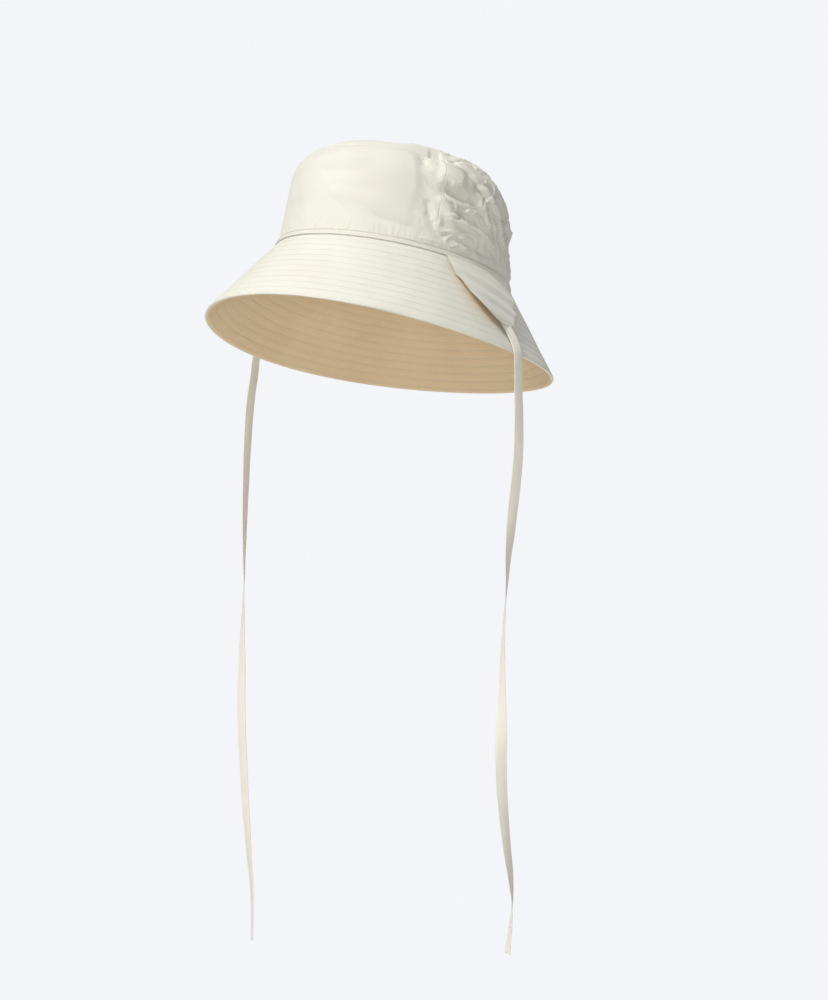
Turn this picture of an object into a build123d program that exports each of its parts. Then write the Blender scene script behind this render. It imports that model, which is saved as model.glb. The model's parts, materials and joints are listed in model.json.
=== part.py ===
"""Tie-on bucket hat: soft crown, stiff stitched brim, and a tie on a flap at each side.

The hat stands as it is worn, tipped back on the head, so that its ties hang plumb.
+Z is up, -Y is the front and +X is the wearer's left. The origin is the centre of the
head opening, in the plane of the seam between crown and brim. Lengths are millimetres.
"""
import os
from math import cos, pi, radians, sin, tan

from build123d import *

os.makedirs("parts", exist_ok=True)

# ---- driving dimensions -------------------------------------------------------------
TIP_BACK = 14.5          # degrees that the hat is tipped back, front raised
SEAM_FRONT = 99.0        # half lengths of the crown and brim seam, an oval
SEAM_SIDE = 88.0
RIM_FRONT = 145.0        # half lengths of the brim's rim, a rounder oval
RIM_SIDE = 133.0
BRIM_DROP = 66.0         # rim below the seam, along the hat's own axis
CROWN_WALL = 53.0        # height at which the wall starts to round over
SHOULDER = 32.0          # radius of that rounding
WALL_LEAN = 1.5          # how far the wall leans in by then
DOME = 3.5               # rise of the tip above its own edge
TIP_SEAM = 45.0          # where on the shoulder the tip is sewn on, degrees
SIDE_SEAM = 64.0         # side seams of the crown, degrees round from the front
CLOTH = 0.8              # one layer of cotton with its fusing
STIFFENER = 0.6
LAYER_GAP = 0.15         # air between layers of one body
CLEAR = 0.6              # air between pieces that move apart
HAIR = 0.02              # air between a row of thread and the cloth under it

# ---- frames and small helpers -------------------------------------------------------
worn = Plane(origin=(0, 0, 0), x_dir=(1, 0, 0),
             z_dir=(0, sin(radians(TIP_BACK)), cos(radians(TIP_BACK))))
hat_axis = Axis((0, 0, 0), worn.z_dir)
SQUEEZE = SEAM_SIDE / SEAM_FRONT                       # crown is round, then narrowed
FLARE = RIM_FRONT - SEAM_FRONT                         # run of the brim at the front
SLANT = (FLARE ** 2 + BRIM_DROP ** 2) ** 0.5           # width of the brim
LEVEL = SLANT / BRIM_DROP                              # level measure per unit of cloth


def save(builder, label):
    """Label one finished piece and write it to its own STEP file."""
    builder.part.label = label
    export_step(builder.part, f"parts/{label}.step")


def cut_through_axis(turn):
    """Plane that holds the hat's axis, turned from the front towards the wearer's left."""
    outward = worn.x_dir * sin(radians(turn)) - worn.y_dir * cos(radians(turn))
    return Plane(origin=(0, 0, 0), x_dir=outward, z_dir=outward.cross(worn.z_dir))


def on_shoulder(inset, turn):
    """Point of the shoulder arc, turn degrees up from level, inset into the cloth."""
    reach = SHOULDER - inset
    middle = SEAM_FRONT - WALL_LEAN - SHOULDER
    return (middle + reach * cos(radians(turn)), CROWN_WALL + reach * sin(radians(turn)))


def wall_section(outer, inner, turn):
    """Section of the crown's side wall between two insets, from the seam to the tip."""
    middle = (SEAM_FRONT - WALL_LEAN - SHOULDER, CROWN_WALL)
    with BuildSketch(cut_through_axis(turn)) as section:
        with BuildLine():
            Line((SEAM_FRONT - outer, 0), on_shoulder(outer, 0))
            CenterArc(middle, SHOULDER - outer, 0, TIP_SEAM)
            Line(on_shoulder(outer, TIP_SEAM), on_shoulder(inner, TIP_SEAM))
            CenterArc(middle, SHOULDER - inner, 0, TIP_SEAM)
            Line((SEAM_FRONT - inner, 0), on_shoulder(inner, 0))
            Line((SEAM_FRONT - outer, 0), (SEAM_FRONT - inner, 0))
        make_face()
    return section.sketch


def tip_section(outer, inner):
    """Section of the oval tip between two insets, from its seam in to the hat's axis."""
    start = TIP_SEAM + 0.5
    middle = (SEAM_FRONT - WALL_LEAN - SHOULDER, CROWN_WALL)
    top = CROWN_WALL + SHOULDER + DOME
    with BuildSketch(cut_through_axis(0)) as section:
        with BuildLine():
            CenterArc(middle, SHOULDER - outer, start, 90 - start)
            ThreePointArc(on_shoulder(outer, 90), (middle[0] / 2, top - DOME / 4 - outer),
                          (0, top - outer))
            Line((0, top - outer), (0, top - inner))
            ThreePointArc((0, top - inner), (middle[0] / 2, top - DOME / 4 - inner),
                          on_shoulder(inner, 90))
            CenterArc(middle, SHOULDER - inner, start, 90 - start)
            Line(on_shoulder(inner, start), on_shoulder(outer, start))
        make_face()
    return section.sketch


def brim_oval(down, inset):
    """Oval of the brim at a share of the way from seam to rim, inset into the cloth."""
    with BuildSketch(worn.offset(-BRIM_DROP * down)) as oval:
        Ellipse(SEAM_SIDE + (RIM_SIDE - SEAM_SIDE) * down - inset * LEVEL,
                SEAM_FRONT + FLARE * down - inset * LEVEL)
    return oval.sketch


def brim_ring(top, bottom, outer, inner):
    """Flaring ring of cloth between two shares of the brim and two insets."""
    with BuildPart() as ring:
        loft(sections=[brim_oval(top, outer), brim_oval(bottom, outer)])
        loft(sections=[brim_oval(top, inner), brim_oval(bottom, inner)], mode=Mode.SUBTRACT)
    return ring.part


# ---- crown: two wall panels and an oval tip, with a lining inside -------------------
lining = CLOTH + LAYER_GAP
for name, outer in (("crown", 0.0), ("crown_lining", lining)):
    for side, first, around in (("front", -SIDE_SEAM, 2 * SIDE_SEAM),
                                ("back", SIDE_SEAM, 360 - 2 * SIDE_SEAM)):
        with BuildPart() as panel:
            revolve(wall_section(outer, outer + CLOTH, first), hat_axis, around)
            scale(by=(SQUEEZE, 1, 1), about=(0, 0, 0))
        save(panel, f"{name}_{side}_panel")
    with BuildPart() as tip:
        revolve(tip_section(outer, outer + CLOTH), hat_axis)
        scale(by=(SQUEEZE, 1, 1), about=(0, 0, 0))
    save(tip, f"{name}_tip")

# ---- sweatband: a tape round the inside of the head opening -------------------------
BAND_HEIGHT = 28.0
LEAN_ROOM = 1.1          # the wall leans in over the band's height
band = 2 * lining + LEAN_ROOM
with BuildPart() as sweatband:
    for inset, mode in ((band, Mode.ADD), (band + CLOTH, Mode.SUBTRACT)):
        with BuildSketch(worn):
            Ellipse(SEAM_SIDE - inset, SEAM_FRONT - inset)
        extrude(amount=BAND_HEIGHT, mode=mode)
save(sweatband, "sweatband")

# ---- brim: upper cloth, stiffener and under cloth -----------------------------------
stiffener = CLOTH + LAYER_GAP
under = stiffener + STIFFENER + LAYER_GAP
brim_thick = under + CLOTH
for label, outer, thick, bottom in (("brim_upper", 0.0, CLOTH, 1.0),
                                    ("brim_stiffener", stiffener, STIFFENER, 0.99),
                                    ("brim_under", under, CLOTH, 1.0)):
    with BuildPart() as layer:
        add(brim_ring(0.0, bottom, outer, outer + thick))
    save(layer, label)

# ---- rows of stitching round the brim, seen on both faces, and on the crown's edge --
ROWS = 10                # rows between the two edge stitches
FIRST_ROW = 0.095        # shares of the brim's width, from seam to rim
LAST_ROW = 0.875
RIM_STITCH = 0.965
THREAD = 0.25            # how far a row stands proud
ROW_WIDTH = 0.6
row_half = ROW_WIDTH / 2 / SLANT
rows = [FIRST_ROW + (LAST_ROW - FIRST_ROW) * k / (ROWS - 1) for k in range(ROWS)]
for label, outer, inner in (("brim_top_stitch_rows", -THREAD, -HAIR),
                            ("brim_under_stitch_rows", brim_thick + HAIR,
                             brim_thick + THREAD)):
    with BuildPart() as stitching:
        for down in rows + [RIM_STITCH]:
            add(brim_ring(down - row_half, down + row_half, outer, inner))
    save(stitching, label)

SEAM_STITCH = 2.6        # height of the edge stitch above the seam
with BuildPart() as seam_stitch:
    with BuildSketch(worn.offset(SEAM_STITCH)):
        Ellipse(SEAM_SIDE + THREAD, SEAM_FRONT + THREAD)
        Ellipse(SEAM_SIDE + HAIR, SEAM_FRONT + HAIR, mode=Mode.SUBTRACT)
    extrude(amount=ROW_WIDTH)
save(seam_stitch, "crown_seam_stitch")

# ---- flaps: a tapering tab at each side, sewn into the seam -------------------------
FLAP_HINGE = 20.0        # the flap bends this far below the seam, along the hat's axis
FLAP_BOTTOM = 45.5
FLAP_FRONT = -32.0       # where the front edge meets the seam, ahead of the ears
FLAP_BELLY = (-27.5, -28.5)                            # the front edge bows through here
FLAP_TOE = -5.0          # front and rear ends of the level bottom edge
FLAP_HEEL = 15.0
FLAP_REAR = 50.0
FLAP_ABOVE = 4.0         # the outline is drawn this far past the seam, then trimmed
SEAM_TUCK = 0.4          # the sewn edge starts this far below the seam
FLAP_HEM = 1.6           # the edge stitch keeps this far from the edge
HEM_THREAD = 0.7
BEND_GAP = 3.0           # left open between the sewn part and the part that lifts
FLAP_CORNER = 7.0
SAW_OFF = 200.0


def flap_outline(inset):
    """Outline of a flap as seen from the side, in the hat's own axes."""
    with BuildSketch(Plane.XY) as outline:
        with BuildLine():
            ThreePointArc((FLAP_FRONT + inset, FLAP_ABOVE), (FLAP_BELLY[0] + inset, FLAP_BELLY[1]),
                          (FLAP_TOE + inset, inset - FLAP_BOTTOM))
            Polyline((FLAP_TOE + inset, inset - FLAP_BOTTOM),
                     (FLAP_HEEL - inset, inset - FLAP_BOTTOM), (FLAP_REAR - inset, 0),
                     (FLAP_REAR - inset, FLAP_ABOVE), (FLAP_FRONT + inset, FLAP_ABOVE))
        make_face()
        fillet(outline.vertices().group_by(Axis.Y)[0], FLAP_CORNER)
    return outline.sketch


def flap_layer(low, high, top, bottom, inset=0.0):
    """Cloth of the left flap between two heights above the brim, cut to its outline."""
    side_on = Plane(origin=(0, 0, 0), x_dir=worn.y_dir, z_dir=(1, 0, 0))
    with BuildPart() as cloth:
        add(brim_ring(0.0, 1.0, -high, -low))
        extrude(side_on * flap_outline(inset), amount=SAW_OFF, mode=Mode.INTERSECT)
        with BuildSketch(worn.offset(-bottom)):
            Rectangle(2 * SAW_OFF, 2 * SAW_OFF)
        extrude(amount=bottom - top, mode=Mode.INTERSECT)
    return cloth.part


def save_pair(builder, label):
    """Write a piece for the wearer's left, and its mirror image for the right."""
    save(builder, f"left_{label}")
    with BuildPart() as other:
        mirror(builder.part, about=Plane.YZ)
    save(other, f"right_{label}")


flap_low = CLEAR
flap_mid = flap_low + CLOTH + LAYER_GAP
flap_top = flap_mid + CLOTH
bend_low = FLAP_HINGE + BEND_GAP / 2
with BuildPart() as flap_root:
    add(flap_layer(flap_low, flap_top, SEAM_TUCK, FLAP_HINGE - BEND_GAP / 2))
save_pair(flap_root, "flap_root")
with BuildPart() as flap_facing:
    add(flap_layer(flap_low, flap_low + CLOTH, bend_low, BRIM_DROP))
save_pair(flap_facing, "flap_facing")
with BuildPart() as flap_face:
    add(flap_layer(flap_mid, flap_top, bend_low, BRIM_DROP))
save_pair(flap_face, "flap_face")
with BuildPart() as flap_stitch:
    add(flap_layer(flap_top + HAIR, flap_top + THREAD, bend_low, BRIM_DROP, inset=FLAP_HEM))
    add(flap_layer(flap_mid, flap_top + 2 * THREAD, FLAP_HINGE, BRIM_DROP,
                   inset=FLAP_HEM + HEM_THREAD), mode=Mode.SUBTRACT)
save_pair(flap_stitch, "flap_edge_stitch")

# ---- ties: a narrow folded strip from the bottom of each flap -----------------------
TIE = 4.0                # round section with the same area as the 9 mm wide folded strip
BEND_SHARE = 0.45        # share of the shorter run that each bend's arc takes up


def tie_piece(label, route):
    """Tube of the tie along its route: straight runs joined by tangent arcs."""
    points = [Vector(*place) for place in route]
    radii = []
    for before, here, after in zip(points, points[1:], points[2:]):
        turn = radians((here - before).get_angle(after - here))
        radii.append(BEND_SHARE * min((here - before).length, (after - here).length)
                     / tan(turn / 2))
    with BuildPart() as tie:
        with BuildLine() as path:
            FilletPolyline(*points, radius=radii)
        with BuildSketch(Plane(origin=path.line @ 0, z_dir=path.line % 0)):
            Circle(TIE / 2)
        sweep()
    length = path.wire().length
    wanted = pi * (TIE / 2) ** 2 * length
    print(label, "length", round(length, 1), "radii", [round(r) for r in radii],
          "volume ratio", round(tie.part.volume / wanted, 4))
    save(tie, label)


LEFT_TIE_TOP = [(123.5, -6.9, -46.8), (129.7, -6.3, -56.2), (136.8, -7.0, -67.4),
                (137.2, -7.6, -81.0)]
LEFT_TIE = [(137.2, -7.7, -83.0), (137.6, -7.2, -108.0), (137.6, -7.5, -152.0),
            (133.0, -11.2, -200.0), (130.2, -13.8, -250.0), (128.0, -15.6, -300.0),
            (128.2, -16.6, -350.0), (127.4, -17.2, -398.0), (130.2, -14.2, -446.0),
            (134.2, -10.4, -488.0), (132.6, -11.4, -514.0), (131.2, -13.2, -534.0)]
RIGHT_TIE_TOP = [(-123.5, -6.9, -46.8), (-129.8, -11.1, -55.0), (-136.8, -15.9, -65.6),
                 (-137.4, -16.6, -80.0)]
RIGHT_TIE = [(-137.4, -16.7, -82.0), (-140.4, -19.4, -106.0), (-142.2, -21.0, -150.0),
             (-143.5, -22.2, -200.0), (-143.7, -22.6, -252.0), (-144.9, -23.5, -304.0),
             (-145.6, -24.1, -354.0), (-144.1, -22.7, -402.0), (-142.1, -20.9, -448.0),
             (-139.4, -18.5, -490.0), (-138.7, -17.8, -518.0), (-138.9, -18.2, -541.0)]
tie_piece("left_tie_top", LEFT_TIE_TOP)
tie_piece("left_tie", LEFT_TIE)
tie_piece("right_tie_top", RIGHT_TIE_TOP)
tie_piece("right_tie", RIGHT_TIE)
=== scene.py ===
import json

import bpy
import numpy as np
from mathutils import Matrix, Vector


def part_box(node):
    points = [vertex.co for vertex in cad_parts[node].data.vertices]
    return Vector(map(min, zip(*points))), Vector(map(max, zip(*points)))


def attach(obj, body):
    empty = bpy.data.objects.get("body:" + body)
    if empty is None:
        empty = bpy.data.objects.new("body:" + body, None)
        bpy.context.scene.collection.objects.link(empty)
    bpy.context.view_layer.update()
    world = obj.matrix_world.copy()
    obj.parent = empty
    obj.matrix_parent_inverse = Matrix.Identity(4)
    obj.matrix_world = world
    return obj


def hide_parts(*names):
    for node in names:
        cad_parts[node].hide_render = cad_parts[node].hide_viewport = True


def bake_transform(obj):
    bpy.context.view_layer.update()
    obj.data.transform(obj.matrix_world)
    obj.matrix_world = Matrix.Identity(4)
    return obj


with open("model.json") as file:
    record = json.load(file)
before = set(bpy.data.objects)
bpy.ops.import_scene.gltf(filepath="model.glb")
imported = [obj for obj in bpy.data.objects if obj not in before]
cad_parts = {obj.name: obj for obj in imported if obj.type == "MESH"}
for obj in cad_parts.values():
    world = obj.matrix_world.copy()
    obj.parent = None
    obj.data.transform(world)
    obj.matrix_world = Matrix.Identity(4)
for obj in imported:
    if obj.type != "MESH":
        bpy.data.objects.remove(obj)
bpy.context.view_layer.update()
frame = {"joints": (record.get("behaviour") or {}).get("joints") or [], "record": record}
record = frame["record"]
scene = bpy.context.scene

# ---------------------------------------------------------------------------
# How the hat sits. It is worn tipped back, so its own upright axis leans
# towards the back; the record's head opening mount gives that axis. Cloth is
# laid out in the hat's own axes and then turned into place by worn().
# ---------------------------------------------------------------------------
mount = next(m for m in record["mounts"] if m["name"] == "head_opening")
UP = -np.array(mount["axis"]) / np.linalg.norm(mount["axis"])


def worn(points):
    """Points in the hat's own axes turned about X by the tilt of the record's axis."""
    x, y, z = points[..., 0], points[..., 1], points[..., 2]
    return np.stack([x, y * UP[2] + z * UP[1], -y * UP[1] + z * UP[2]], -1)


def smooth(low, high, value):
    """0 below low, 1 above high, and the cubic 3t^2 - 2t^3 of the way between them."""
    t = np.clip((value - low) / (high - low), 0.0, 1.0)
    return t * t * (3 - 2 * t)


def noise(u, v, seed):
    """Smooth noise from -1 to 1: random slopes at whole numbers, blended by a quintic."""
    table = np.random.default_rng(seed).uniform(0, 2 * np.pi, (256, 256))
    iu, iv = np.floor(u).astype(int), np.floor(v).astype(int)
    fu, fv = u - iu, v - iv

    def corner(du, dv):
        turn = table[(iu + du) % 256, (iv + dv) % 256]
        return np.cos(turn) * (fu - du) + np.sin(turn) * (fv - dv)

    wu = fu ** 3 * (fu * (fu * 6 - 15) + 10)
    wv = fv ** 3 * (fv * (fv * 6 - 15) + 10)
    low = corner(0, 0) * (1 - wu) + corner(1, 0) * wu
    high = corner(0, 1) * (1 - wu) + corner(1, 1) * wu
    return 1.4 * (low * (1 - wv) + high * wv)


def placed(name, mesh):
    """A smooth-shaded object of the mesh, in the scene."""
    mesh.polygons.foreach_set("use_smooth", np.ones(len(mesh.polygons), bool))
    mesh.update()
    piece = bpy.data.objects.new(name, mesh)
    scene.collection.objects.link(piece)
    return piece


def grid_mesh(name, points, uv, close_u=False, flip=False):
    """Mesh of quads over a grid of points, rows along the first index, joined round if close_u."""
    rows, cols = points.shape[:2]
    index = np.arange(rows * cols).reshape(rows, cols)
    here = index if close_u else index[:-1]
    there = np.roll(index, -1, 0) if close_u else index[1:]
    quads = np.stack([here[:, :-1], there[:, :-1], there[:, 1:], here[:, 1:]], -1).reshape(-1, 4)
    if flip:
        quads = quads[:, ::-1]
    mesh = bpy.data.meshes.new(name)
    mesh.from_pydata(points.reshape(-1, 3).tolist(), [], quads.tolist())
    layer = mesh.uv_layers.new(name="cloth")
    flat = uv.reshape(-1, 2)[np.array([v for q in mesh.polygons for v in q.vertices])]
    layer.data.foreach_set("uv", flat.astype(np.float32).ravel())
    return placed(name, mesh)


def thicken(piece, depth):
    """A layer's thickness, grown towards the back of its faces."""
    wall = piece.modifiers.new("thickness", "SOLIDIFY")
    wall.thickness = depth
    wall.offset = -1.0
    wall.use_even_offset = False


# ---------------------------------------------------------------------------
# Cotton cloth: a plain weave that follows the cloth's own threads (the UV map
# holds metres along and across them), slightly uneven in yarn and tone.
# ---------------------------------------------------------------------------


def add_socket(group, name, way, kind, value=None):
    socket = group.interface.new_socket(name=name, in_out=way, socket_type=kind)
    if value is not None:
        socket.default_value = value


weave = bpy.data.node_groups.new("plain_weave", "ShaderNodeTree")
add_socket(weave, "Thread", "INPUT", "NodeSocketFloat", 0.0006)
add_socket(weave, "Light", "INPUT", "NodeSocketColor", (0.9, 0.88, 0.8, 1))
add_socket(weave, "Deep", "INPUT", "NodeSocketColor", (0.8, 0.77, 0.68, 1))
add_socket(weave, "Relief", "INPUT", "NodeSocketFloat", 0.5)
add_socket(weave, "Color", "OUTPUT", "NodeSocketColor")
add_socket(weave, "Rough", "OUTPUT", "NodeSocketFloat")
add_socket(weave, "Normal", "OUTPUT", "NodeSocketVector")


SLUBS = (260, 1500, 1)                                   # uneven yarn, per metre each way
PATCHES = 24.0                                           # uneven tone, per metre
WEAVE_SHARE = 0.18                                       # of the weave's height in the tone
WEAVE_DEPTH = 0.0002


def wire_weave(tree):
    """Two crossing sine waves one thread wide give the weave's height; noise slubs the yarn."""
    node, link = tree.nodes.new, tree.links.new

    def maths(operation):
        step = node("ShaderNodeMath")
        step.operation = operation
        return step

    source, sink = node("NodeGroupInput"), node("NodeGroupOutput")
    uv = node("ShaderNodeUVMap")
    uv.uv_map = "cloth"
    split = node("ShaderNodeSeparateXYZ")
    link(uv.outputs["UV"], split.inputs[0])
    turns = maths("DIVIDE")
    turns.inputs[0].default_value = 2 * np.pi
    link(source.outputs["Thread"], turns.inputs[1])
    waves = []
    for axis in ("X", "Y"):
        angle = maths("MULTIPLY")
        link(split.outputs[axis], angle.inputs[0])
        link(turns.outputs[0], angle.inputs[1])
        sine = maths("SINE")
        link(angle.outputs[0], sine.inputs[0])
        waves.append(sine)
    cross = maths("MULTIPLY")
    link(waves[0].outputs[0], cross.inputs[0])
    link(waves[1].outputs[0], cross.inputs[1])
    slub_map = node("ShaderNodeMapping")
    slub_map.inputs["Scale"].default_value = SLUBS
    link(uv.outputs["UV"], slub_map.inputs[0])
    slub = node("ShaderNodeTexNoise")
    slub.inputs["Scale"].default_value = 1.0
    slub.inputs["Detail"].default_value = 3.0
    link(slub_map.outputs[0], slub.inputs["Vector"])
    place = node("ShaderNodeTexCoord")
    patch = node("ShaderNodeTexNoise")
    patch.inputs["Scale"].default_value = PATCHES
    patch.inputs["Detail"].default_value = 4.0
    link(place.outputs["Object"], patch.inputs["Vector"])
    height = maths("ADD")
    link(cross.outputs[0], height.inputs[0])
    link(slub.outputs["Fac"], height.inputs[1])
    tone = maths("MULTIPLY_ADD")
    tone.inputs[1].default_value = WEAVE_SHARE
    link(height.outputs[0], tone.inputs[0])
    link(patch.outputs["Fac"], tone.inputs[2])
    ramp = node("ShaderNodeMapRange")
    ramp.inputs["From Min"].default_value = 0.2
    ramp.inputs["From Max"].default_value = 0.95
    link(tone.outputs[0], ramp.inputs["Value"])
    blend = node("ShaderNodeMix")
    blend.data_type = "RGBA"
    link(ramp.outputs[0], blend.inputs["Factor"])
    link(source.outputs["Deep"], blend.inputs["A"])
    link(source.outputs["Light"], blend.inputs["B"])
    bump = node("ShaderNodeBump")
    bump.inputs["Distance"].default_value = WEAVE_DEPTH
    link(source.outputs["Relief"], bump.inputs["Strength"])
    link(height.outputs[0], bump.inputs["Height"])
    rough = node("ShaderNodeMapRange")
    rough.inputs["To Min"].default_value = 0.95
    rough.inputs["To Max"].default_value = 0.78
    link(ramp.outputs[0], rough.inputs["Value"])
    link(blend.outputs["Result"], sink.inputs["Color"])
    link(rough.outputs[0], sink.inputs["Rough"])
    link(bump.outputs[0], sink.inputs["Normal"])


wire_weave(weave)


def cloth(name, light, deep, thread=0.0006, relief=0.5, sheen=0.15):
    """A cotton finish from the plain weave, between a light and a deep tone."""
    material = bpy.data.materials.new(name)
    material.use_nodes = True
    tree = material.node_tree
    shader = tree.nodes["Principled BSDF"]
    group = tree.nodes.new("ShaderNodeGroup")
    group.node_tree = weave
    group.inputs["Thread"].default_value = thread
    group.inputs["Light"].default_value = (*light, 1)
    group.inputs["Deep"].default_value = (*deep, 1)
    group.inputs["Relief"].default_value = relief
    tree.links.new(group.outputs["Color"], shader.inputs["Base Color"])
    tree.links.new(group.outputs["Rough"], shader.inputs["Roughness"])
    tree.links.new(group.outputs["Normal"], shader.inputs["Normal"])
    shader.inputs["Sheen Weight"].default_value = sheen
    shader.inputs["Specular IOR Level"].default_value = 0.25
    return material


outer_cotton = cloth("outer_cotton", (0.85, 0.84, 0.755), (0.77, 0.755, 0.665))

# ---------------------------------------------------------------------------
# Crown. Two wall panels and an oval tip of soft cotton, sewn together on the
# shoulder. The front is smooth over the head; the back and the wearer's left
# are slack and crumpled, because the empty cloth sags behind the head.
# ---------------------------------------------------------------------------
seam_low, seam_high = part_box("crown_seam_stitch")
SEAM_THREAD = 0.00025                                    # the stitch stands out of the seam
SEAM_SIDE = (seam_high[0] - seam_low[0]) / 2 - SEAM_THREAD
SEAM_FRONT = 0.099
WALL = 0.053                                             # height of the straight wall
LEAN = 0.0015                                            # inwards over that height
SHOULDER = 0.032                                         # radius
DOME = 0.0035                                            # rise of the flat top
CROWN_RADIUS = 0.0935                                    # mean, for lengths round the crown
ARC = SHOULDER * np.pi / 2
TOP_REACH = SEAM_FRONT - LEAN - SHOULDER
TIP_SEAM = WALL + ARC / 2
PROFILE = WALL + ARC + TOP_REACH
SQUEEZE = SEAM_SIDE / SEAM_FRONT


def crown_profile(up):
    """Reach and height at a length up the crown: leaning wall, round shoulder, low dome."""
    turn = np.clip((up - WALL) / SHOULDER, 0, np.pi / 2)
    inward = np.clip(up - WALL - ARC, 0, TOP_REACH) / TOP_REACH
    reach = np.where(up < WALL, SEAM_FRONT - LEAN * up / WALL, TOP_REACH + SHOULDER * np.cos(turn))
    reach = np.where(up > WALL + ARC, TOP_REACH * (1 - inward), reach)
    height = np.where(up < WALL, up, WALL + SHOULDER * np.sin(turn))
    height = height + DOME * (1 - (1 - inward) ** 2)
    out = np.where(up < WALL, 1.0, np.cos(turn))
    return reach, height, out, np.where(up < WALL, 0.0, np.sin(turn))


def fold(turn, up, start, end, width):
    """Bump of height 1 along a line from start to end, each (degrees round, metres up)."""
    across = 0.00165                                     # metres of wall per degree
    px, py = (turn - start[0]) * across, up - start[1]
    qx, qy = (end[0] - start[0]) * across, end[1] - start[1]
    length = np.hypot(qx, qy)
    along = np.clip((px * qx + py * qy) / length ** 2, 0, 1)
    away = np.hypot(px - along * qx, py - along * qy) / width
    taper = smooth(-0.02, 0.25, along) * smooth(-0.02, 0.25, 1 - along)
    return np.exp(-away ** 2 * 1.4) * (0.25 + 0.75 * taper)


def wrap(turn):
    """Degrees round from the front by the wearer's left, brought between -60 and 300."""
    return (turn + 60) % 360 - 60


# Folds listed one by one, most on the slack side: start and end, each (degrees
# round, metres up), then width in mm and height in steps of FOLD_HEIGHT.
FOLD_HEIGHT = 0.0018
FOLDS = [((55, 0.086), (64, 0.084), 9.0, -2.6), ((52, 0.076), (54, 0.066), 4.0, -1.0),
         ((38, 0.102), (72, 0.104), 9.0, 1.4), ((60, 0.064), (76, 0.058), 9.0, 2.2),
         ((70, 0.080), (84, 0.062), 3.2, 1.9), ((74, 0.072), (90, 0.053), 2.8, -2.2),
         ((83, 0.064), (100, 0.047), 3.0, 2.2), ((64, 0.050), (80, 0.046), 4.5, -2.4),
         ((57, 0.040), (62, 0.020), 4.0, -1.2), ((62, 0.045), (74, 0.028), 5.0, 1.4),
         ((84, 0.052), (96, 0.032), 4.0, 1.9), ((90, 0.046), (104, 0.024), 3.0, -2.2),
         ((66, 0.030), (102, 0.019), 4.0, 1.9), ((72, 0.037), (90, 0.029), 4.5, -2.0),
         ((98, 0.054), (112, 0.022), 3.2, 1.5), ((104, 0.050), (117, 0.020), 2.6, -2.2),
         ((70, 0.014), (98, 0.010), 3.0, -1.0), ((100, 0.036), (106, 0.010), 2.4, 1.3),
         ((112, 0.060), (128, 0.030), 4.0, 0.9), ((124, 0.070), (140, 0.030), 4.5, -2.4),
         ((138, 0.055), (160, 0.040), 4.0, 2.0), ((150, 0.075), (172, 0.050), 5.0, -2.4),
         ((166, 0.062), (190, 0.030), 4.5, 2.0), ((186, 0.074), (206, 0.040), 5.0, -2.1),
         ((204, 0.060), (226, 0.034), 4.0, 1.9), ((222, 0.078), (240, 0.046), 5.0, -2.0),
         ((236, 0.062), (262, 0.044), 4.0, 1.6), ((262, 0.070), (276, 0.040), 4.0, -1.3),
         ((286, 0.080), (299, 0.060), 5.0, 0.7), ((-20, 0.072), (16, 0.078), 6.0, -0.6),
         ((-6, 0.050), (34, 0.058), 7.0, -0.55), ((4, 0.034), (40, 0.028), 6.0, 0.5),
         ((30, 0.018), (56, 0.012), 4.0, -0.7), ((-40, 0.030), (-8, 0.024), 7.0, -0.4)]


CRUMPLES = 46                                            # per metre round the slack side
HEM_TOP = 0.0028                                         # the hem below this stays clean


def crown_folds(turn, up):
    """Outward shift of the crown cloth: listed folds, ridged crumples and seam puckers."""
    wrapped = wrap(turn)
    shift = np.zeros(np.broadcast(turn, up).shape)
    for start, end, width, steps in FOLDS:
        shift = shift + FOLD_HEIGHT * steps * fold(wrapped, up, start, end, width * 0.001)
    bent = wrapped + 1.6 * np.sin(up * 95) + 40 * (up - 0.05)
    step = smooth(48, 53, bent) * (1 - smooth(53, 66, bent))
    shift = shift - 0.0015 * step * smooth(0.012, 0.05, up) * (1 - smooth(0.07, 0.095, up))
    slack = smooth(46, 74, wrapped) * (1 - smooth(236, 298, wrapped))
    flat_top = 1 - 0.88 * smooth(WALL + 0.6 * ARC, WALL + 1.25 * ARC, up)
    around = np.radians(turn)
    warp = noise(np.cos(around) * 4 + 9, np.sin(around) * 4 + up * 60 + 9, 3)
    reach, height = crown_profile(up)[:2]
    spread = reach + 0.02
    x = np.cos(around) * spread * CRUMPLES - height * 25 + 2.0 * warp + 40
    y = np.sin(around) * spread * CRUMPLES + height * 70 + 1.5 * warp + 40
    ridged = 1 - 2 * np.abs(noise(x, y, 5))
    fine = 1 - 2 * np.abs(noise(x * 2.3, y * 2.3, 7))
    band = np.exp(-((up - 0.076 + 0.00085 * (wrapped - 70)) / 0.014) ** 2)
    band = band * smooth(64, 74, wrapped)
    shift = shift + slack * flat_top * (0.0014 * ridged + (0.0004 + 0.0007 * band) * fine)
    shift = shift + (1 - slack) * 0.0003 * noise(x * 0.6, y * 0.6, 11)
    shift = shift * smooth(HEM_TOP, 0.0085, up)
    pucker = np.sin(around * 120 + 4 * noise(around * 12 + 60, up * 60, 13))
    uneven = 0.5 + 0.9 * np.abs(noise(around * 9 + 30, around * 0 + 7, 17))
    gathered = 0.00042 * pucker * uneven * np.exp(-up / 0.008) * smooth(HEM_TOP, 0.0045, up)
    shift = shift + gathered
    return shift * (1 - smooth(PROFILE - 0.045, PROFILE - 0.01, up))


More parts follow.
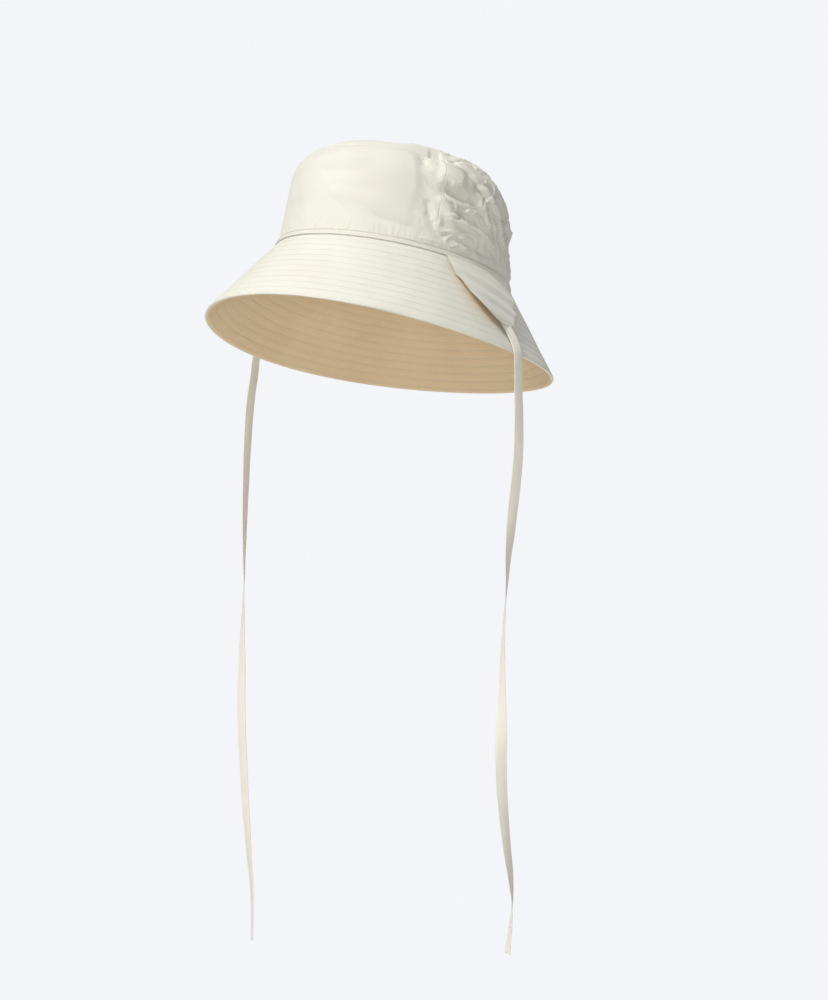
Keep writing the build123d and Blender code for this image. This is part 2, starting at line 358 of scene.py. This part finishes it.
def crown_lip(up):
    """The crown's folded hem: a ridge 1.9 mm proud, and the groove of its edge stitch."""
    ridge = smooth(-0.0012, -0.0006, up) * (1 - smooth(0.0018, 0.0029, up)) * 0.0019
    return ridge - 0.0008 * np.exp(-((up - 0.0030) / 0.0006) ** 2)


SAG = 0.0065                                             # inwards, where it is greatest


def sag(turn):
    """How far the empty cloth has sunk, 0 to 1, going round behind the wearer's left."""
    wrapped = wrap(turn)
    return smooth(84, 128, wrapped) * (1 - smooth(190, 260, wrapped))


def crown_point(turn, up, inset=0.0):
    """Place on the crown: oval of the profile's reach, shifted along its outward slope."""
    reach, height, out, rise = crown_profile(np.maximum(up, 0))
    height = height + np.minimum(up, 0)
    reach = reach - 0.7 * np.minimum(up, 0)
    slump = sag(turn)
    centred = (turn + 180) % 360 - 180
    right_side = smooth(-112, -60, centred) * (1 - smooth(-34, 16, centred))
    below_top = 1 - smooth(0.105, 0.160, up)
    high = smooth(0.03, 0.10, up) * below_top
    height = height * (1 - 0.055 * slump * high - 0.04 * right_side * high)
    sunk = SAG * smooth(0.0, 0.04, up) * below_top + 0.005 * high
    reach = reach - slump * sunk * smooth(0.3, 0.8, out + rise)
    shift = crown_folds(turn, np.maximum(up, 0)) + crown_lip(up) - inset
    depth = 0.0003 + 0.0006 * smooth(50, 80, wrap(turn))
    seam = depth * np.exp(-((up - TIP_SEAM) / 0.0011) ** 2)
    reach = reach + shift * out - seam * out
    height = height + shift * rise - seam * rise
    around = np.radians(turn)
    return np.stack([reach * SQUEEZE * np.sin(around), -reach * np.cos(around), height], -1)


def crown_patch(name, turns, ups, inset=0.0, close=False):
    """Cloth over the crown at these degrees round and lengths up, inset metres inside it."""
    turn, up = np.meshgrid(turns, ups, indexing="ij")
    points = worn(crown_point(turn, up, inset))
    uv = np.stack([np.radians(turn) * CROWN_RADIUS, up], -1)
    return grid_mesh(name, points, uv, close_u=close)


SIDE_SEAM = 64.0                                         # degrees round from the front
PANELS = {"front": (-SIDE_SEAM, SIDE_SEAM), "back": (SIDE_SEAM, 360 - SIDE_SEAM)}
CLOTH = 0.0008                                           # thickness
for part, count in (("front", 300), ("back", 460)):
    panel = crown_patch(f"crown_{part}_cloth", np.linspace(*PANELS[part], count),
                        np.concatenate([np.linspace(-0.0012, 0.006, 28),
                                        np.linspace(0.0065, TIP_SEAM, 130)]))
    panel.data.materials.append(outer_cotton)
    thicken(panel, CLOTH)
    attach(panel, "hat")
    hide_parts(f"crown_{part}_panel")

tip = crown_patch("crown_tip_cloth", np.linspace(0, 360, 421)[:-1],
                  np.concatenate([np.linspace(TIP_SEAM, WALL + ARC, 40),
                                  np.linspace(WALL + ARC + 0.002, PROFILE - 0.00005, 60)]),
                  close=True)
tip.data.materials.append(outer_cotton)
thicken(tip, CLOTH)
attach(tip, "hat")
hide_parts("crown_tip")

# ---------------------------------------------------------------------------
# Crown lining. The same three pieces again in a thinner cotton, which follow
# the crown's folds from inside and are caught in the same seams.
# ---------------------------------------------------------------------------
lining_cotton = cloth("lining_cotton", (0.80, 0.74, 0.62), (0.70, 0.63, 0.50), 0.0005, 0.35, 0.1)
LINING = 0.0022                                          # inside the crown's cloth
LINING_CLOTH = 0.0005
for part, count in (("front", 120), ("back", 200)):
    panel = crown_patch(f"lining_{part}_cloth", np.linspace(*PANELS[part], count),
                        np.linspace(0.004, TIP_SEAM, 60), inset=LINING)
    panel.data.materials.append(lining_cotton)
    thicken(panel, LINING_CLOTH)
    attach(panel, "hat")
    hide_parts(f"crown_lining_{part}_panel")
lining_tip = crown_patch("lining_tip_cloth", np.linspace(0, 360, 181)[:-1],
                         np.concatenate([np.linspace(TIP_SEAM, WALL + ARC, 20),
                                         np.linspace(WALL + ARC + 0.002, PROFILE - 0.0004, 24)]),
                         inset=LINING, close=True)
lining_tip.data.materials.append(lining_cotton)
thicken(lining_tip, LINING_CLOTH)
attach(lining_tip, "hat")
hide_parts("crown_lining_tip")

# ---------------------------------------------------------------------------
# Brim. Upper and under cloth quilted to a stiffener by rows of stitching, and
# bagged out so that the rim is a clean turned edge. Each row draws the cloth
# down into a shallow groove, and the cloth puckers between the rows.
# ---------------------------------------------------------------------------
brim_low, brim_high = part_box("brim_upper")
RIM_MORE = 0.002                                         # the drawn rim is this much wider
RIM_SIDE = (brim_high[0] - brim_low[0]) / 2 + RIM_MORE
RIM_FRONT = 0.147
DROP = 0.066                                             # height of the brim
BRIM_RADIUS = 0.115                                      # mean, for lengths round the brim
MEAN_FLARE = 0.0455                                      # spread of the ovals' mean radius
FLARE = RIM_FRONT - SEAM_FRONT
SLANT = np.hypot(FLARE, DROP)
BRIM_THICK = 0.0026
ROWS = np.concatenate([[0.028], np.linspace(0.095, 0.875, 10), [0.965]])


def brim_point(turn, down, deep):
    """Place on the brim, deep metres below its upper face: ovals spread in step with the drop."""
    around = np.radians(turn)
    rim_wave = 0.0035 * np.cos(2 * around) - 0.001 * np.cos(around)
    level = -deep * SLANT / DROP
    side = SEAM_SIDE + (RIM_SIDE - SEAM_SIDE) * down + level
    front = SEAM_FRONT + FLARE * down + level
    return np.stack([side * np.sin(around), -front * np.cos(around),
                     -DROP * down + rim_wave * down], -1)


QUILT = 0.00021
QUILT_PUCKER = 0.00012
QUILT_WAVE = 0.0006


def quilting(turn, down):
    """Height of the quilted face: 0 at the rows of stitching, 0.2 mm proud between, puckered."""
    away = np.min(np.abs(down[..., None] - ROWS), -1) * SLANT
    groove = 1 - np.exp(-(away / 0.0011) ** 2)
    around = np.radians(turn)
    pucker = noise(around * 46 + 20, down * 15, 21) + 0.6 * noise(around * 110 + 20, down * 13, 22)
    soft = noise(around * 5 + 20, down * 2.5, 23)
    wave = QUILT_WAVE * soft * smooth(0.03, 0.2, down)
    return QUILT * groove + QUILT_PUCKER * groove * pucker + wave


TURNS = np.linspace(0, 360, 901)[:-1]
RIM_TURN = 0.985                                         # share of the drop where the rim turns
DOWNS = np.unique(np.concatenate([np.linspace(0.0, RIM_TURN, 105), ROWS]))
turn, down = np.meshgrid(TURNS, DOWNS, indexing="ij")
upper = brim_point(turn, down, -quilting(turn, down))
edge_turn, edge = np.meshgrid(TURNS, np.linspace(0, np.pi, 9)[1:-1], indexing="ij")
bulge = RIM_TURN + 0.015 * np.sin(edge)
rolled = brim_point(edge_turn, bulge, BRIM_THICK / 2 * (1 - np.cos(edge)))
lower = brim_point(turn, down, BRIM_THICK + 0.8 * quilting(turn, down))[:, ::-1]



def brim_uv(down):
    """Metres round the brim and down it, for the weave."""
    round_it = np.radians(np.broadcast_to(TURNS[:, None], down.shape)) * BRIM_RADIUS
    return np.stack([round_it, down * SLANT], -1)


brim_cotton = cloth("brim_cotton", (0.85, 0.84, 0.755), (0.78, 0.765, 0.675), 0.0006, 0.45)
under_cotton = cloth("under_cotton", (0.88, 0.70, 0.46), (0.77, 0.58, 0.35), 0.0006, 0.45, 0.05)
top_skin = np.concatenate([upper, rolled[:, :4]], 1)
top_uv = brim_uv(np.concatenate([down, bulge[:, :4]], 1))
brim_top = grid_mesh("brim_upper_cloth", worn(top_skin), top_uv, close_u=True, flip=True)
brim_top.data.materials.append(brim_cotton)
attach(brim_top, "hat")
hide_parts("brim_upper", "brim_stiffener")

under_skin = np.concatenate([rolled[:, 3:], lower], 1)
under_uv = brim_uv(np.concatenate([bulge[:, 3:], down[:, ::-1]], 1))
brim_under = grid_mesh("brim_under_cloth", worn(under_skin), under_uv, close_u=True, flip=True)
brim_under.data.materials.append(under_cotton)
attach(brim_under, "hat")
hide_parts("brim_under")

# ---------------------------------------------------------------------------
# Stitching. Each row is cotton thread in lockstitches about 2.6 mm long: a
# stitch is a short thread bead that dips into the cloth at both ends.
# ---------------------------------------------------------------------------
thread_cotton = cloth("sewing_thread", (0.88, 0.86, 0.78), (0.76, 0.73, 0.63), 0.0003, 0.6)
STITCH = 0.0026                                          # length
THREAD = 0.00022                                         # radius
STITCH_GAP = 0.12                                        # share left free at each end
RINGS = 4                                                # of each bead
CORNERS = 5                                              # of each ring


def stitch_beads(name, starts, ends, outward, material):
    """Beads from starts to ends, arched outward and thin at the ends."""
    share = np.array([0.0, 0.3, 0.7, 1.0])
    girth = THREAD * np.array([0.35, 1.0, 1.0, 0.35])
    lift = THREAD * np.array([-0.6, 0.7, 0.7, -0.6])
    along = ends - starts
    forward = along / np.linalg.norm(along, axis=-1, keepdims=True)
    across = np.cross(forward, outward)
    spin = np.linspace(0, 2 * np.pi, CORNERS + 1)[:-1]
    middle = starts[:, None] + along[:, None] * share[:, None] + outward[:, None] * lift[:, None]
    ring = (np.cos(spin)[:, None] * across[:, None, None]
            + np.sin(spin)[:, None] * outward[:, None, None])
    points = middle[:, :, None] + ring * girth[None, :, None, None]
    first = np.arange(len(starts))[:, None, None] * RINGS * CORNERS
    index = np.arange(RINGS * CORNERS).reshape(RINGS, CORNERS)
    after = np.roll(index, -1, 1)
    one = np.stack([index[:-1], after[:-1], after[1:], index[1:]], -1).reshape(-1, 4)
    faces = (first + one).reshape(-1, 4)
    caps = (first + np.stack([index[0, ::-1], index[-1]])).reshape(-1, CORNERS)
    mesh = bpy.data.meshes.new(name)
    mesh.from_pydata(points.reshape(-1, 3).tolist(), [], faces.tolist() + caps.tolist())
    mesh.uv_layers.new(name="cloth")
    mesh.materials.append(material)
    return placed(name, mesh)


def row_of_stitches(place, first, last, length):
    """Starts, ends and outward directions of stitches along a line place(t, rise)."""
    count = max(3, int(length / STITCH))
    t = np.linspace(first, last, count + 1)
    gap = (t[1] - t[0]) * STITCH_GAP
    starts, ends = place(t[:-1] + gap, 0.0), place(t[1:] - gap, 0.0)
    middle = (t[:-1] + t[1:]) / 2
    outward = place(middle, 0.001) - place(middle, 0.0)
    return starts, ends, outward / np.linalg.norm(outward, axis=-1, keepdims=True)


def rows_on_brim(face):
    """Every row of the brim's upper (face 1) or under (face -1) side."""
    found = []
    for share in ROWS[1:] if face > 0 else ROWS:
        def place(t, rise):
            base = quilting(t, np.full_like(t, share))
            deep = -base - rise if face > 0 else BRIM_THICK + 0.8 * base + rise
            return worn(brim_point(t, np.full_like(t, share), deep))
        length = 2 * np.pi * (CROWN_RADIUS + MEAN_FLARE * share)
        found.append(row_of_stitches(place, 0, 360, length))
    return [np.concatenate(group) for group in zip(*found)]


for label, face in (("brim_top_stitches", 1), ("brim_under_stitches", -1)):
    rows = stitch_beads(label, *rows_on_brim(face), thread_cotton)
    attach(rows, "hat")
    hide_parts("brim_top_stitch_rows" if face > 0 else "brim_under_stitch_rows")

HEM_ROW = 0.0029                                         # up the crown
HEM_LENGTH = 0.586


def hem_line(t, rise):
    """Line round the crown's hem, t in degrees."""
    return worn(crown_point(t, np.full_like(t, HEM_ROW), -rise))


seam_row = stitch_beads("crown_seam_stitches",
                        *row_of_stitches(hem_line, 0, 360, HEM_LENGTH), thread_cotton)
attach(seam_row, "hat")
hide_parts("crown_seam_stitch")

# ---------------------------------------------------------------------------
# Sweatband. A ribbed cotton tape sewn round the inside of the head opening.
# ---------------------------------------------------------------------------
sweatband_tape = cloth("sweatband_tape", (0.76, 0.68, 0.54), (0.62, 0.53, 0.40), 0.0012, 0.8)
BAND_INSET = 0.0033                                      # inside the seam's oval
BAND_SLACK = 0.0012                                      # further in, behind the left side
BAND_RADIUS = 0.09                                       # mean
BAND_THICK = 0.0008
turn, up = np.meshgrid(np.linspace(0, 360, 361)[:-1], np.linspace(-0.001, 0.027, 16), indexing="ij")
around = np.radians(turn)
ease = BAND_INSET + 0.0004 * noise(around * 6 + 20, up * 40, 31)
ease = (ease + sag(turn) * SAG * smooth(0.0, 0.04, up)
        + BAND_SLACK * smooth(46, 74, turn) * smooth(0, 0.01, up))
band_points = np.stack([(SEAM_SIDE - ease) * np.sin(around),
                        -(SEAM_FRONT - ease) * np.cos(around), up], -1)
band_uv = np.stack([around * BAND_RADIUS, up], -1)
band = grid_mesh("sweatband_tape", worn(band_points), band_uv, close_u=True)
band.data.materials.append(sweatband_tape)
thicken(band, BAND_THICK)
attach(band, "hat")
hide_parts("sweatband")

# ---------------------------------------------------------------------------
# Flaps. At each side a tapering tab of doubled cotton is caught in the seam
# and lies on the brim. Its front edge bows off the brim, and it ends in a
# round corner where the tie is sewn under it.
# ---------------------------------------------------------------------------
FLAP_BOTTOM = 0.0455                                     # below the seam, down the hat's axis
CORNER = 0.007                                           # radius
ARC_BACK, ARC_DOWN, ARC_RADIUS = 0.0062, 0.0073, 0.0398  # centre and size of the front edge
REAR, REAR_SLOPE = 0.050, 0.77                           # of the straight rear edge
# creases across a flap: share of its drop where each meets the front edge, its
# slope from there, half its width, and its height in metres
CREASES = [(0.20, 0.22, 0.05, 0.0009), (0.33, 0.24, 0.05, -0.0010),
           (0.46, 0.26, 0.06, 0.0009), (0.62, 0.20, 0.06, -0.0007)]
HANDS = (("left", 1), ("right", -1))


def flap_edges(drop):
    """Front and rear edges of a flap at a drop below the seam, both rounded in at the bottom."""
    front = ARC_BACK - np.sqrt(ARC_RADIUS ** 2 - (drop - ARC_DOWN) ** 2)
    rear = REAR - REAR_SLOPE * drop
    low = np.clip(drop - (FLAP_BOTTOM - CORNER), 0, CORNER)
    tuck = CORNER - np.sqrt(CORNER ** 2 - low ** 2 + 1e-12)
    return front, rear - tuck


def flap_point(across, share, rise):
    """Place on the left flap: across from front edge to rear, share from seam to bottom."""
    drop = FLAP_BOTTOM * share
    front, rear = flap_edges(drop)
    y = front + (rear - front) * across
    down = drop / DROP
    bow = 0.0046 * smooth(0.0, 0.8, share) * (1 - 0.5 * smooth(0.84, 1.0, share))
    bow = bow * (1 - across) ** 3
    creases = sum(tall * np.exp(-((share - start - slope * across) / width) ** 2)
                  for start, slope, width, tall in CREASES)
    creases = creases * smooth(0.0, 0.2, share) * (1 - 0.5 * smooth(0.7, 1.0, share))
    away = 0.0009 + 0.0021 * smooth(0.1, 0.85, share) + bow + creases
    away = away * smooth(0.0, 0.2, share) + rise
    front_reach = SEAM_FRONT + FLARE * down
    cosine = np.clip(-y / front_reach, -1, 1)
    turn = np.degrees(np.arccos(cosine))
    return brim_point(turn, down, -away)


def mirrored(points, hand):
    """Points of the left flap in place on the left (hand 1) or the right (hand -1)."""
    return worn(points * np.array([hand, 1, 1]))


FLAP_THICK = 0.0013
# The flap's under face is partly the tan of its facing cloth and partly painted light. It is raised
# to a bright saturated orange that stands in for light shining through the thin cloth and bouncing
# warm in the gap under the flap.
flap_under_tan_and_painted_glow = cloth("flap_under_tan_and_painted_glow", (0.98, 0.64, 0.28), (0.88, 0.53, 0.20), 0.0006, 0.45, 0.05)


def flap_mesh(name, hand):
    """Closed skin of a flap: its two faces thin out at the edge, where a rim joins them."""
    across, share = np.meshgrid(np.linspace(0, 1, 61), np.linspace(0, 1, 45), indexing="ij")
    edge = np.minimum(np.minimum(across, 1 - across) * 0.06, (1 - share) * 0.045 + 0.0006)
    full = 0.35 + 0.65 * (1 - np.exp(-(edge / 0.0007) ** 2))
    skins = [flap_point(across, share, FLAP_THICK / 2 * (1 + way * full)) for way in (1, -1)]
    points = mirrored(np.stack(skins), hand).reshape(-1, 3)
    index = np.arange(across.size).reshape(across.shape)
    quads = np.stack([index[:-1, :-1], index[1:, :-1], index[1:, 1:], index[:-1, 1:]], -1)
    quads = quads.reshape(-1, 4)
    loop = np.concatenate([index[0, :-1], index[:-1, -1], index[-1, :0:-1], index[:0:-1, 0]])
    after = np.roll(loop, -1)
    rim = np.stack([loop, after, after + across.size, loop + across.size], -1)
    faces = np.concatenate([quads[:, ::-1], quads + across.size, rim])
    if hand > 0:
        faces = faces[:, ::-1]
    mesh = bpy.data.meshes.new(name)
    mesh.from_pydata(points.tolist(), [], faces.tolist())
    flat = np.tile(np.stack([across * 0.06, share * 0.045], -1).reshape(-1, 2), (2, 1))
    layer = mesh.uv_layers.new(name="cloth")
    layer.data.foreach_set("uv", flat[faces.ravel()].astype(np.float32).ravel())
    # The under faces get the orange of painted glow through the cloth; the upper faces and the rim
    # get the plain outer cotton.
    side_of = np.repeat([0, 1, 0], [len(quads), len(quads), len(rim)]).astype(np.int32)
    mesh.materials.append(outer_cotton)
    mesh.materials.append(flap_under_tan_and_painted_glow)
    mesh.polygons.foreach_set("material_index", side_of)
    return placed(name, mesh)


BEND_DROP = 0.020                                        # where a flap bends, below the seam
EDGE_LENGTH = 0.062                                      # of a flap's edge stitching
BEND_HALF = 0.16                                         # half the bend, as a share of its drop
for side, hand in HANDS:
    flap = flap_mesh(f"{side}_flap_cloth", hand)
    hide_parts(f"{side}_flap_root", f"{side}_flap_face", f"{side}_flap_facing")
    bend = BEND_DROP / FLAP_BOTTOM
    start, end = (mirrored(flap_point(np.array(0.5), np.array(bend + d), 0.0), hand)
                  for d in (-BEND_HALF, BEND_HALF))
    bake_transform(flap)

    def edge_line(t, rise):
        """Line just inside the flap's rear edge and bottom, t from 0 at the seam to 1."""
        down_rear = np.clip(t / 0.72, 0, 1) * 0.93
        forward = np.clip((t - 0.72) / 0.28, 0, 1)
        spot = flap_point(0.955 - 0.75 * forward, down_rear, FLAP_THICK + rise)
        return mirrored(spot, hand)

    edge_row = stitch_beads(f"{side}_flap_stitches",
                            *row_of_stitches(edge_line, 0.06, 1, EDGE_LENGTH), thread_cotton)
    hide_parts(f"{side}_flap_edge_stitch")
    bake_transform(edge_row)

# ---------------------------------------------------------------------------
# Ties. Each is a cotton strip folded to 9 mm, about half a metre long, sewn
# under the flap's bottom. It lies over the brim's rim and hangs limp, turning
# slowly about itself. Its far end is cut.
# ---------------------------------------------------------------------------
tie_cotton = cloth("tie_cotton", (0.97, 0.93, 0.85), (0.89, 0.84, 0.73), 0.00055, 0.5)
TIE_WIDTH = 0.009
TIE_THICK = 0.0011
# For each tie its route in metres, and the bearing of the strip's width in
# degrees from +X towards +Y at heights down it.
TIES = {
    "left": ([(0.1200, -0.0059, -0.0438), (0.1235, -0.0069, -0.0468),
              (0.1297, -0.0063, -0.0562), (0.1368, -0.0070, -0.0674),
              (0.1372, -0.0076, -0.0810), (0.1376, -0.0072, -0.1080),
              (0.1376, -0.0075, -0.1520), (0.1330, -0.0112, -0.2000),
              (0.1302, -0.0138, -0.2500), (0.1280, -0.0156, -0.3000),
              (0.1282, -0.0166, -0.3500), (0.1274, -0.0172, -0.3980),
              (0.1302, -0.0142, -0.4460), (0.1342, -0.0104, -0.4880),
              (0.1326, -0.0114, -0.5140), (0.1312, -0.0132, -0.5340)],
             [(-0.04, 90), (-0.10, 90), (-0.133, 77), (-0.198, 69), (-0.230, 106),
              (-0.262, 132), (-0.341, 170), (-0.372, 222), (-0.445, 265), (-0.478, 282),
              (-0.495, 312), (-0.534, 340)]),
    "right": ([(-0.1200, -0.0059, -0.0438), (-0.1235, -0.0069, -0.0468),
               (-0.1298, -0.0111, -0.0550), (-0.1368, -0.0159, -0.0656),
               (-0.1374, -0.0166, -0.0800), (-0.1404, -0.0194, -0.1060),
               (-0.1422, -0.0210, -0.1500), (-0.1435, -0.0222, -0.2000),
               (-0.1437, -0.0226, -0.2520), (-0.1449, -0.0235, -0.3040),
               (-0.1456, -0.0241, -0.3540), (-0.1441, -0.0227, -0.4020),
               (-0.1421, -0.0209, -0.4480), (-0.1394, -0.0185, -0.4900),
               (-0.1387, -0.0178, -0.5180), (-0.1389, -0.0182, -0.5410)],
              [(-0.04, 90), (-0.09, 90), (-0.117, 86), (-0.199, 109), (-0.251, 132),
               (-0.309, 170), (-0.355, 183), (-0.442, 171), (-0.475, 158), (-0.500, 146),
               (-0.541, 140)])}
TIE_STEPS = 420                                          # cross-sections along a tie


def route_line(name, route):
    """Points along the NURBS curve whose control points are the route."""
    curve = bpy.data.curves.new(name, "CURVE")
    curve.dimensions = "3D"
    curve.resolution_u = 14
    spline = curve.splines.new("NURBS")
    spline.points.add(len(route) - 1)
    for point, place in zip(spline.points, route):
        point.co = (*place, 1)
    spline.order_u = 3
    spline.use_endpoint_u = True
    holder = bpy.data.objects.new(name, curve)
    scene.collection.objects.link(holder)
    mesh = bpy.data.meshes.new_from_object(holder)
    line = np.array([v.co for v in mesh.vertices])
    bpy.data.objects.remove(holder)
    return line


def section(points):
    """Outline of the folded strip: rounded folds, flat faces, and a groove by each fold."""
    spin = np.linspace(0, 2 * np.pi, points, endpoint=False)
    wide = TIE_WIDTH / 2 * np.sign(np.cos(spin)) * np.abs(np.cos(spin)) ** 0.55
    thick = TIE_THICK / 2 * np.sign(np.sin(spin)) * np.abs(np.sin(spin)) ** 0.6
    seam = 1 - 0.45 * np.exp(-((np.abs(wide) - TIE_WIDTH * 0.36) / 0.0004) ** 2)
    return wide, thick * seam


for side, hand in HANDS:
    route, bearings = TIES[side]
    line = route_line(f"{side}_tie_route", route)
    step = np.linalg.norm(np.diff(line, axis=0), axis=1)
    length = np.concatenate([[0], np.cumsum(step)])
    even = np.linspace(0, length[-1], TIE_STEPS)
    line_even = np.stack([np.interp(even, length, line[:, k]) for k in range(3)], -1)
    forward = np.gradient(line_even, axis=0)
    forward /= np.linalg.norm(forward, axis=1, keepdims=True)
    heights, angles = np.array(bearings)[::-1].T
    bearing = np.radians(np.interp(line_even[:, 2], heights, angles))
    bearing = np.convolve(np.pad(bearing, 15, "edge"), np.ones(31) / 31, "valid")
    width = np.stack([np.cos(bearing), np.sin(bearing), 0 * bearing], -1)
    width -= forward * np.sum(width * forward, 1, keepdims=True)
    width /= np.linalg.norm(width, axis=1, keepdims=True)
    flat = np.cross(forward, width)
    wide, thick = section(28)
    curl = 0.0005 * noise(even * 40 + 8, 0 * even + 3, 41 + hand)
    ring = (line_even[:, None] + wide[:, None] * width[:, None] + thick[:, None] * flat[:, None]
            + (curl[:, None] * (wide / TIE_WIDTH * 2) ** 2)[..., None] * flat[:, None])
    closed = np.concatenate([ring, ring[:, :1]], 1)
    uv = np.stack([np.broadcast_to(even[:, None], closed.shape[:2]),
                   np.broadcast_to(np.append(wide, wide[0]), closed.shape[:2])], -1)
    tie = grid_mesh(f"{side}_tie_strip", closed, uv)
    tie.data.materials.append(tie_cotton)
    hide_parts(f"{side}_tie_top", f"{side}_tie")
    swing = next(j for j in frame["joints"] if j["name"] == f"{side}_tie_swing")
    pivot = np.array(swing["pos_m"])
    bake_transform(tie)

# ---------------------------------------------------------------------------
# Studio: pale floor and air of one tone, a key light high in front, two weak
# lights, low at the left front and behind, and a level camera at the left front.
# ---------------------------------------------------------------------------
AIR = (0.905, 0.913, 0.947)
LAMP_AIM = (0, 0, -0.05)


def seen_and_lit(tree, seen, lit, into):
    """What the eye sees, and what lights the hat, mixed by whether the ray is the eye's own."""
    rays = tree.nodes.new("ShaderNodeLightPath")
    mix = tree.nodes.new("ShaderNodeMixShader")
    tree.links.new(rays.outputs["Is Camera Ray"], mix.inputs[0])
    tree.links.new(lit.outputs[0], mix.inputs[1])
    tree.links.new(seen.outputs[0], mix.inputs[2])
    tree.links.new(mix.outputs[0], into.inputs["Surface"])


pale = bpy.data.materials.new("studio_floor")
pale.use_nodes = True
floor_tree = pale.node_tree
plain = floor_tree.nodes["Principled BSDF"]
plain.inputs["Base Color"].default_value = (0.86, 0.86, 0.86, 1)
plain.inputs["Roughness"].default_value = 1.0
glow = floor_tree.nodes.new("ShaderNodeEmission")
glow.inputs["Color"].default_value = (*AIR, 1)
seen_and_lit(floor_tree, glow, plain, floor_tree.nodes["Material Output"])
bpy.ops.mesh.primitive_plane_add(size=400, location=(0, 0, -1.6))
floor = bpy.context.object
floor.name = "studio_floor"
floor.data.materials.append(pale)

world = bpy.data.worlds.new("studio_air")
scene.world = world
world.use_nodes = True
air_tree = world.node_tree
soft = air_tree.nodes["Background"]
soft.inputs["Color"].default_value = (1.0, 1.0, 1.0, 1)
soft.inputs["Strength"].default_value = 0.43
bright = air_tree.nodes.new("ShaderNodeBackground")
bright.inputs["Color"].default_value = (*AIR, 1)
seen_and_lit(air_tree, bright, soft, air_tree.nodes["World Output"])
scene.view_settings.view_transform = "Standard"


def lamp(name, place, power, size, colour):
    """A square area light at place, turned to face the hat."""
    light = bpy.data.lights.new(name, "AREA")
    light.energy = power
    light.size = size
    light.color = colour
    holder = bpy.data.objects.new(name, light)
    scene.collection.objects.link(holder)
    holder.location = place
    away = np.array(place) - np.array(LAMP_AIM)
    holder.rotation_euler = (np.arctan2(np.hypot(away[0], away[1]), away[2]), 0,
                             np.arctan2(away[0], -away[1]))


lamp("key_light", (-0.1, -2.2, 2.6), 88, 0.55, (1.0, 0.988, 0.95))
lamp("front_light", (1.7, -2.4, -0.4), 16, 1.0, (1.0, 0.985, 0.95))
lamp("back_light", (-0.6, 2.6, 1.6), 16, 1.0, (0.97, 0.98, 1.0))

FACING = (0.669, 0.743)                                  # the camera's side and front distances
camera_data = bpy.data.cameras.new("camera")
camera_data.lens = 158.5
camera_data.sensor_width = 36
camera_data.clip_end = 100
camera = bpy.data.objects.new("camera", camera_data)
scene.collection.objects.link(camera)
camera.location = (2.354, -2.590, -0.183)
camera.rotation_euler = (np.pi / 2, 0, np.arctan2(*FACING))
scene.camera = camera
